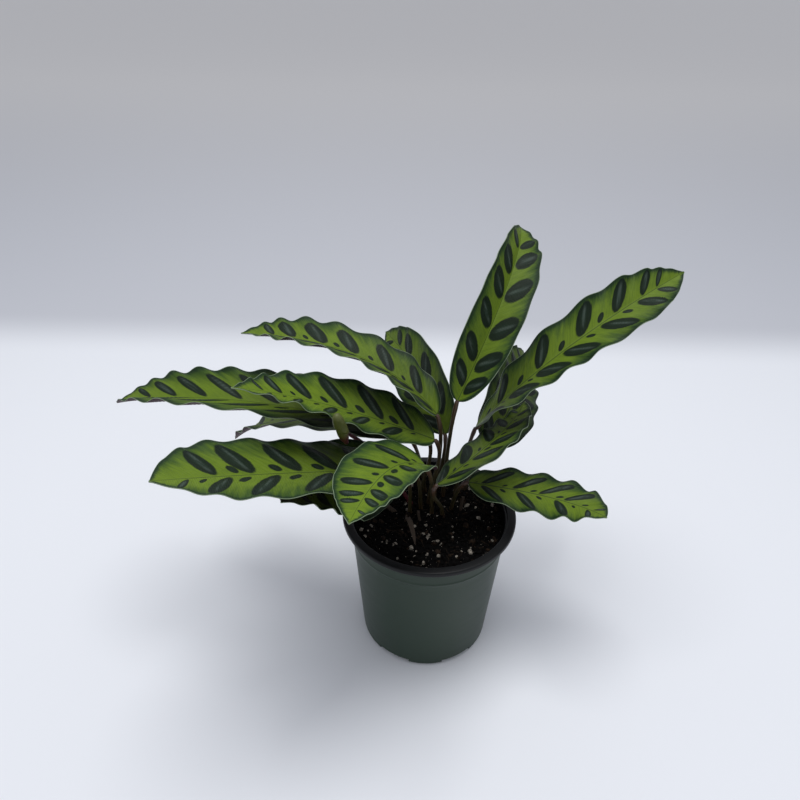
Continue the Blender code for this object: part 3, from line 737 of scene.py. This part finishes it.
def make_soil(look):
    top = wall_radius(SOIL_TOP) - POT_WALL - GAP
    low = wall_radius(CORNER_RADIUS) - POT_WALL - GAP
    floor = POT_FLOOR + GAP
    rings = [(top * (k + 1) / SOIL_RINGS, None) for k in range(SOIL_RINGS)]
    rings += [(low - 0.4 * MM, floor + 8 * MM), (low - 6 * MM, floor)]
    turn = np.linspace(0, 2 * math.pi, SOIL_STEPS, endpoint=False)
    points = [(0, 0, fine_height(0, 0))]
    for radius, height in rings:
        for t in turn:
            x, y = radius * math.cos(t), radius * math.sin(t)
            points.append((x, y, fine_height(x, y) if height is None else height))
    points.append((0, 0, floor))
    faces = [(0, 1 + j, 1 + (j + 1) % SOIL_STEPS) for j in range(SOIL_STEPS)]
    faces += quads(len(rings), SOIL_STEPS, start=1, closed=True, flip=True)
    last = 1 + (len(rings) - 1) * SOIL_STEPS
    faces += [(len(points) - 1, last + (j + 1) % SOIL_STEPS, last + j) for j in range(SOIL_STEPS)]
    make_piece("soil_surface", points, faces, [look], node="soil")


def lump(rng, size, squash=(0.6, 1.0), detail=1):
    """Points and faces of one irregular grain."""
    shape = bmesh.new()
    bmesh.ops.create_icosphere(shape, subdivisions=detail, radius=1)
    seed = rng.random() * 50
    stretch = [rng.uniform(*squash) for _ in range(3)]
    points = []
    for vert in shape.verts:
        p = vert.co
        bumpy = 1 + 0.45 * noise.noise(p * 1.3 + Vector((seed, 0, 0)))
        bumpy += 0.2 * noise.noise(p * 3.1 + Vector((0, seed, 0)))
        points.append([p[k] * bumpy * stretch[k] * size for k in range(3)])
    faces = [[v.index for v in face.verts] for face in shape.faces]
    shape.free()
    spin = Matrix.Rotation(rng.random() * 6.28, 3, Vector((rng.random(), rng.random(), 1)).normalized())
    return np.array(points) @ np.array(spin), faces


def soil_spot(rng, inner=0.0, outer=46.0):
    """A random place on the soil that isn't on a stalk."""
    roots = [leaf.root for leaf in LEAVES] + [FURLED_ROOT, SHEATH_ROOT] + [r[1] for r in REMNANTS]
    while True:
        radius = math.sqrt(rng.uniform(inner ** 2, outer ** 2))
        turn = rng.uniform(0, 2 * math.pi)
        x, y = radius * math.cos(turn), radius * math.sin(turn)
        if all(math.hypot(x - a, y - b) > STALK_ROOM for a, b in roots):
            return x * MM, y * MM


def scatter(name, shapes, look):
    """Join many small shapes in one piece."""
    points, faces, count = [], [], 0
    for spots, rings in shapes:
        points.append(spots)
        faces += [[i + count for i in ring] for ring in rings]
        count += len(spots)
    piece = make_piece(name, np.concatenate(points), faces, [look])
    piece.data.set_sharp_from_angle(angle=math.radians(35))


def make_litter(looks):
    """What lies in the soil: crumbs of peat, perlite grains, bark chips and fibres."""
    rng = random.Random(7)
    crumbs, perlite, bark, fibres = [], [], [], []
    for _ in range(CRUMB_COUNT):
        x, y = soil_spot(rng)
        size = rng.uniform(0.5, 1.0) ** 2 * 1.9 * MM
        points, faces = lump(rng, size)
        crumbs.append((points + (x, y, fine_height(x, y) + size * 0.25), faces))
    for k in range(PERLITE_COUNT):
        x, y = soil_spot(rng)
        size = rng.uniform(0.5, 1.0) ** 2.2 * 1.9 * MM
        points, faces = lump(rng, size, (0.5, 1.0), 2)
        perlite.append((points + (x, y, fine_height(x, y) + size * 0.3), faces))
    for _ in range(SPECK_COUNT):
        x, y = soil_spot(rng)
        size = rng.uniform(0.12, 0.36) * MM
        points, faces = lump(rng, size, (0.4, 1.0))
        perlite.append((points + (x, y, fine_height(x, y) + size * 0.6), faces))
    for _ in range(BARK_COUNT):
        x, y = soil_spot(rng)
        size = rng.uniform(1.2, 2.8) * MM
        points, faces = lump(rng, size, (0.2, 1.0))
        bark.append((points + (x, y, fine_height(x, y) + 0.3 * MM), faces))
    for _ in range(FIBRE_COUNT):
        x, y = soil_spot(rng, outer=45)
        turn, length = rng.uniform(0, 6.28), rng.uniform(3, 11) * MM
        way = np.array((math.cos(turn), math.sin(turn), 0))
        bend = np.array((-way[1], way[0], 0)) * rng.uniform(-0.3, 0.3) * length
        s = np.linspace(-0.5, 0.5, 7)[:, None]
        path = np.array((x, y, 0)) + way * s * length + bend * (1 - 4 * s * s)
        path[:, 2] = [fine_height(px, py) + 0.35 * MM for px, py, _ in path]
        points, faces, _, _ = tube(path, np.full(7, rng.uniform(0.12, 0.3) * MM), 5)
        fibres.append((points, faces))
    scatter("soil_crumbs", crumbs, looks["crumb"])
    scatter("soil_perlite", perlite, looks["perlite"])
    scatter("soil_bark", bark, looks["bark"])
    scatter("soil_fibres", fibres, looks["fibre"])


# Materials

LIGHT_GREEN = (0.142, 0.222, 0.014)
MID_GREEN = (0.038, 0.082, 0.012)
DEEP_GREEN = (0.010, 0.030, 0.010)
OVAL_DARK = (0.002, 0.009, 0.005)
OVAL_LIT = (0.009, 0.024, 0.016)
# Painted highlight: colour of the sheen along the large ovals' creases
CREASE_SHEEN_GREY = (0.100, 0.135, 0.112)
RIB_DARK = (0.030, 0.055, 0.014)
# Painted highlight: pale colour for the light that the leaf margins catch
EDGE_HIGHLIGHT_PALE = (0.250, 0.320, 0.200)
MAROON = (0.018, 0.005, 0.010)
MAROON_LIT = (0.048, 0.014, 0.022)
BACK_RIB = (0.120, 0.085, 0.040)
EDGE_GREEN = (0.12, 0.17, 0.08)
STALK_DARK = (0.016, 0.013, 0.006)
STALK_LIT = (0.055, 0.045, 0.016)
STALK_TOP = (0.052, 0.020, 0.011)
STALK_FOOT = (0.045, 0.024, 0.012)
FURLED_DARK = (0.060, 0.075, 0.014)
FURLED_LIT = (0.110, 0.120, 0.024)
FURLED_FOOT = (0.075, 0.012, 0.016)
DRY_DARK = (0.010, 0.006, 0.004)
DRY_LIT = (0.070, 0.046, 0.028)
POT_DARK = (0.009, 0.025, 0.013)
POT_LIT = (0.014, 0.033, 0.018)
LIP_BLACK = (0.003, 0.0035, 0.004)
LIP_DUST = (0.022, 0.021, 0.019)
PEAT = ((0.0004, 0.0003, 0.0003), (0.0022, 0.0018, 0.0017))
CRUMB = ((0.0005, 0.0004, 0.0004), (0.0045, 0.0034, 0.0028))
PERLITE = ((0.110, 0.095, 0.075), (0.560, 0.510, 0.430))
BARK = ((0.006, 0.004, 0.003), (0.040, 0.024, 0.014))
FIBRE = ((0.006, 0.004, 0.003), (0.045, 0.030, 0.018))


def leaf_face_look():
    look = Look("leaf_face")
    big, small, streak = look.attribute("marks")
    out, margin, vein = look.attribute("place")
    u, v, bright = look.attribute("share")
    away = look.calc("ABSOLUTE", v)
    sided = look.calc("MULTIPLY", look.calc("SIGN", v), 40.0)
    lines = look.join(look.calc("ADD", vein, sided), look.calc("MULTIPLY", out, 0.10), bright)
    fine = look.grain(lines, 1.7, 2.0)
    lanes = look.join(look.calc("ADD", vein, sided), look.calc("MULTIPLY", out, 0.3), u)
    broad = look.grain(lanes, 0.32, 3.0)
    blotchy = look.grain(look.place(), 130.0, 3.0)
    feather = look.calc("MULTIPLY", look.calc("SUBTRACT", fine, 0.5), 0.22)
    uneven = look.calc("MULTIPLY", look.calc("SUBTRACT", broad, 0.5), 0.9)
    shade = look.ease(look.calc("ADD", away, uneven), 0.35, 1.0)
    colour = look.mix(shade, LIGHT_GREEN, MID_GREEN)
    lane = look.ease(fine, 0.42, 0.68)
    colour = look.mix(look.calc("MULTIPLY", lane, 0.25), colour, MID_GREEN)
    colour = look.mix(look.calc("MULTIPLY", look.ease(blotchy, 0.45, 0.8), 0.3), colour, MID_GREEN)
    ragged = look.calc("ADD", look.calc("MULTIPLY", fine, 3.6), look.calc("MULTIPLY", broad, 2.4))
    deep = look.ease(look.calc("SUBTRACT", margin, ragged), 0.6, -2.4)
    colour = look.mix(deep, colour, DEEP_GREEN)
    inside = look.ease(look.calc("ADD", big, feather), 1.08, 0.93)
    dab = look.ease(look.calc("ADD", small, feather), 1.12, 0.9)
    marked = look.calc("MAXIMUM", inside, dab)
    heart = look.ease(look.calc("MINIMUM", big, small), 0.85, 0.2)
    oval = look.mix(look.calc("MULTIPLY", heart, look.ease(fine, 0.3, 0.7)), OVAL_DARK, OVAL_LIT)
    colour = look.mix(look.calc("MULTIPLY", marked, 0.97), colour, oval)
    # Painted highlight: a grey sheen along the crease in the middle of each large oval
    crease_sheen = look.calc("MULTIPLY", look.ease(streak, 1.5, 0.0), look.ease(big, 0.95, 0.35))
    crease_sheen = look.calc("MULTIPLY", crease_sheen, look.ease(broad, 0.36, 0.56))
    colour = look.mix(look.calc("MULTIPLY", crease_sheen, 0.55), colour, CREASE_SHEEN_GREY)
    beside = look.ease(look.calc("ADD", out, look.calc("MULTIPLY", u, 0.5)), 1.5, 0.8)
    colour = look.mix(look.calc("MULTIPLY", beside, 0.55), colour, LIGHT_GREEN)
    rib = look.ease(look.calc("ADD", out, look.calc("MULTIPLY", u, 0.35)), 0.75, 0.35)
    colour = look.mix(look.calc("MULTIPLY", rib, 0.85), colour, RIB_DARK)
    # Painted highlight: a pale strip along the margin, where the edge catches light
    edge_highlight = look.ease(margin, 0.34, 0.12)
    colour = look.mix(look.calc("MULTIPLY", edge_highlight, 0.8), colour, EDGE_HIGHLIGHT_PALE)
    # Painted shade: darken the face's colour by the blade's painted light level
    painted_shade_dim = look.calc("ADD", look.calc("MULTIPLY", bright, 0.85), 0.15)
    colour = look.mix(1.0, colour, look.join(painted_shade_dim, painted_shade_dim, painted_shade_dim), "MULTIPLY")
    ribs = look.calc("SINE", look.calc("MULTIPLY", vein, 6.5))
    height = look.calc("ADD", look.calc("MULTIPLY", ribs, 0.35), look.calc("MULTIPLY", fine, 1.0))
    look.bump(height, 0.45, 0.0003)
    rough = look.calc("ADD", 0.38, look.calc("MULTIPLY", blotchy, 0.18))
    return look.finish(colour, rough, Specular_IOR_Level=0.16)


def leaf_back_look():
    look = Look("leaf_back_maroon")
    out, margin, vein = look.attribute("place")
    u, _, _ = look.attribute("share")
    fine = look.grain(look.join(vein, look.calc("MULTIPLY", out, 0.12), 0.0), 1.5, 3.0)
    colour = look.mix(fine, MAROON, MAROON_LIT)
    rib = look.ease(look.calc("ADD", out, look.calc("MULTIPLY", u, 0.4)), 1.3, 0.7)
    colour = look.mix(look.calc("MULTIPLY", rib, 0.7), colour, BACK_RIB)
    look.bump(look.calc("SINE", look.calc("MULTIPLY", vein, 6.5)), 0.3, 0.0002)
    return look.finish(colour, 0.5, Specular_IOR_Level=0.25)


def leaf_edge_look():
    look = Look("leaf_edge")
    # Painted highlight: the rim faces are pale in places, for the light the margin catches
    grainy = look.grain(look.place(), 900.0)
    return look.finish(look.mix(grainy, EDGE_HIGHLIGHT_PALE, EDGE_GREEN), 0.5)


def stalk_look():
    look = Look("stalk_skin")
    rise, around, index = look.attribute("stalk")
    lines = look.join(look.calc("MULTIPLY", around, 2.2), look.calc("MULTIPLY", rise, 7.0), index)
    streaks = look.grain(lines, 1.6, 4.0)
    colour = look.mix(streaks, STALK_DARK, STALK_LIT)
    colour = look.mix(look.ease(rise, 0.6, 0.92, 0.0, 0.75), colour, STALK_TOP)
    colour = look.mix(look.ease(rise, 0.22, 0.02, 0.0, 0.85), colour, STALK_FOOT)
    look.bump(streaks, 0.4, 0.0003)
    return look.finish(colour, 0.42)


def furled_look():
    look = Look("furled_skin")
    rise, around, _ = look.attribute("stalk")
    lines = look.join(look.calc("MULTIPLY", around, 1.0), look.calc("MULTIPLY", rise, 2.0), 3.0)
    streaks = look.grain(lines, 4.0, 4.0)
    colour = look.mix(streaks, FURLED_DARK, FURLED_LIT)
    colour = look.mix(look.ease(rise, 0.42, 0.12), colour, FURLED_FOOT)
    look.bump(streaks, 0.5, 0.0004)
    return look.finish(colour, 0.45)


def dry_look():
    look = Look("dry_remains")
    rise, around, index = look.attribute("stalk")
    lines = look.join(around, look.calc("MULTIPLY", rise, 3.0), index)
    streaks = look.grain(lines, 3.0, 5.0)
    colour = look.mix(streaks, DRY_DARK, DRY_LIT)
    look.bump(streaks, 0.7, 0.0005)
    return look.finish(colour, 0.8)


def soil_look(name, dark, light, scale, rough=0.95):
    look = Look(name)
    speckle = look.grain(look.place(), scale, 5.0, 0.65)
    colour = look.mix(look.ease(speckle, 0.35, 0.75), dark, light)
    look.bump(speckle, 0.8, 0.0008)
    return look.finish(colour, rough, Specular_IOR_Level=0.12)


def pot_wall_look():
    look = Look("pot_green_plastic")
    spot = look.place()
    x, y, z = look.split(spot)
    haze = look.grain(look.join(x, y, look.calc("MULTIPLY", z, 6.0)), 45.0, 4.0)
    colour = look.mix(haze, POT_DARK, POT_LIT)
    rings = look.grain(look.join(0.0, 0.0, z), 900.0, 2.0)
    dimple = look.grain(spot, 1500.0, 2.0)
    height = look.calc("ADD", look.calc("MULTIPLY", rings, 0.5), look.calc("MULTIPLY", dimple, 0.5))
    look.bump(height, 0.12, 0.0003)
    rough = look.calc("ADD", 0.34, look.calc("MULTIPLY", haze, 0.12))
    return look.finish(colour, rough, Specular_IOR_Level=0.4)


def pot_lip_look():
    look = Look("pot_black_lip")
    spot = look.place()
    dust = look.grain(spot, 300.0, 5.0)
    colour = look.mix(look.ease(dust, 0.6, 0.85), LIP_BLACK, LIP_DUST)
    look.bump(dust, 0.2, 0.0003)
    return look.finish(colour, 0.45, Specular_IOR_Level=0.25)


# Stage

def make_stage():
    """A wide flat sheet: pale around the pot, grey further back as painted shade of a wall, and painted
    lighter far back. It hides the pot from no side.
    """
    look = Look("backdrop_sheet")
    _, y, _ = look.split(look.place())
    # Painted shade: the grey band stands in for a shaded wall, and far back the paint is lighter to make
    # up for the lamp's light falling off
    colour = look.mix(look.ease(y, PALE_TO, GREY_FROM), FLOOR_COLOUR, WALL_PAINTED_SHADE)
    colour = look.mix(look.ease(y, GREY_FROM, FAR_FROM), colour, WALL_FAR_PAINTED_LIGHT)
    look.finish(colour, 0.9, Specular_IOR_Level=0.1)
    edge = SHEET_SIZE / 2
    mesh = bpy.data.meshes.new("backdrop")
    corners = [(-edge, -edge, 0), (edge, -edge, 0), (edge, edge, 0), (-edge, edge, 0)]
    mesh.from_pydata(corners, [], [(0, 1, 2, 3)])
    mesh.materials.append(look.material)
    backdrop = bpy.data.objects.new("backdrop", mesh)
    bpy.context.collection.objects.link(backdrop)


def area_light(name, place, target, size, power, colour=(1, 1, 1)):
    data = bpy.data.lights.new(name, "AREA")
    data.shape = "DISK"
    data.size = size
    data.energy = power
    data.color = colour
    light = bpy.data.objects.new(name, data)
    light.location = place
    light.rotation_mode = "QUATERNION"
    light.rotation_quaternion = (Vector(place) - Vector(target)).to_track_quat("Z", "Y")
    bpy.context.collection.objects.link(light)


def make_lights():
    world = bpy.data.worlds.new("studio")
    world.use_nodes = True
    background = world.node_tree.nodes["Background"]
    background.inputs["Color"].default_value = (*WORLD_COLOUR, 1)
    background.inputs["Strength"].default_value = WORLD_STRENGTH
    bpy.context.scene.world = world
    area_light("overhead", KEY_PLACE, (0, 0, 0), KEY_SIZE, KEY_POWER)
    bpy.context.scene.view_settings.view_transform = "Standard"


def make_camera():
    forward = Vector((0, math.cos(CAMERA_PITCH), -math.sin(CAMERA_PITCH)))
    up = Vector((0, math.sin(CAMERA_PITCH), math.cos(CAMERA_PITCH)))
    right = Vector((1, 0, 0))
    turned_right = right * math.cos(CAMERA_ROLL) + up * math.sin(CAMERA_ROLL)
    turned_up = up * math.cos(CAMERA_ROLL) - right * math.sin(CAMERA_ROLL)
    data = bpy.data.cameras.new("camera")
    data.lens = CAMERA_LENS
    data.sensor_width = CAMERA_SENSOR
    data.clip_start = 0.01
    camera = bpy.data.objects.new("camera", data)
    axes = Matrix((turned_right, turned_up, -forward)).transposed().to_4x4()
    camera.matrix_world = Matrix.Translation(CAMERA_PLACE) @ axes
    bpy.context.collection.objects.link(camera)
    bpy.context.scene.camera = camera


def main():
    make_camera()
    make_stage()
    make_lights()
    leaf_looks = [leaf_face_look(), leaf_back_look(), leaf_edge_look()]
    stalk = stalk_look()
    for index, leaf in enumerate(LEAVES):
        make_blade(leaf, leaf_looks, index)
        make_stalk(leaf, stalk, index)
    make_furled_leaf(furled_look())
    make_remnants(dry_look())
    make_pot(pot_wall_look(), pot_lip_look())
    make_soil(soil_look("peat", *PEAT, 700.0))
    make_litter({
        "crumb": soil_look("peat_crumb", *CRUMB, 900.0),
        "perlite": soil_look("perlite", *PERLITE, 1200.0, 0.85),
        "bark": soil_look("bark", *BARK, 600.0, 0.85),
        "fibre": soil_look("fibre", *FIBRE, 500.0, 0.85),
    })


main()
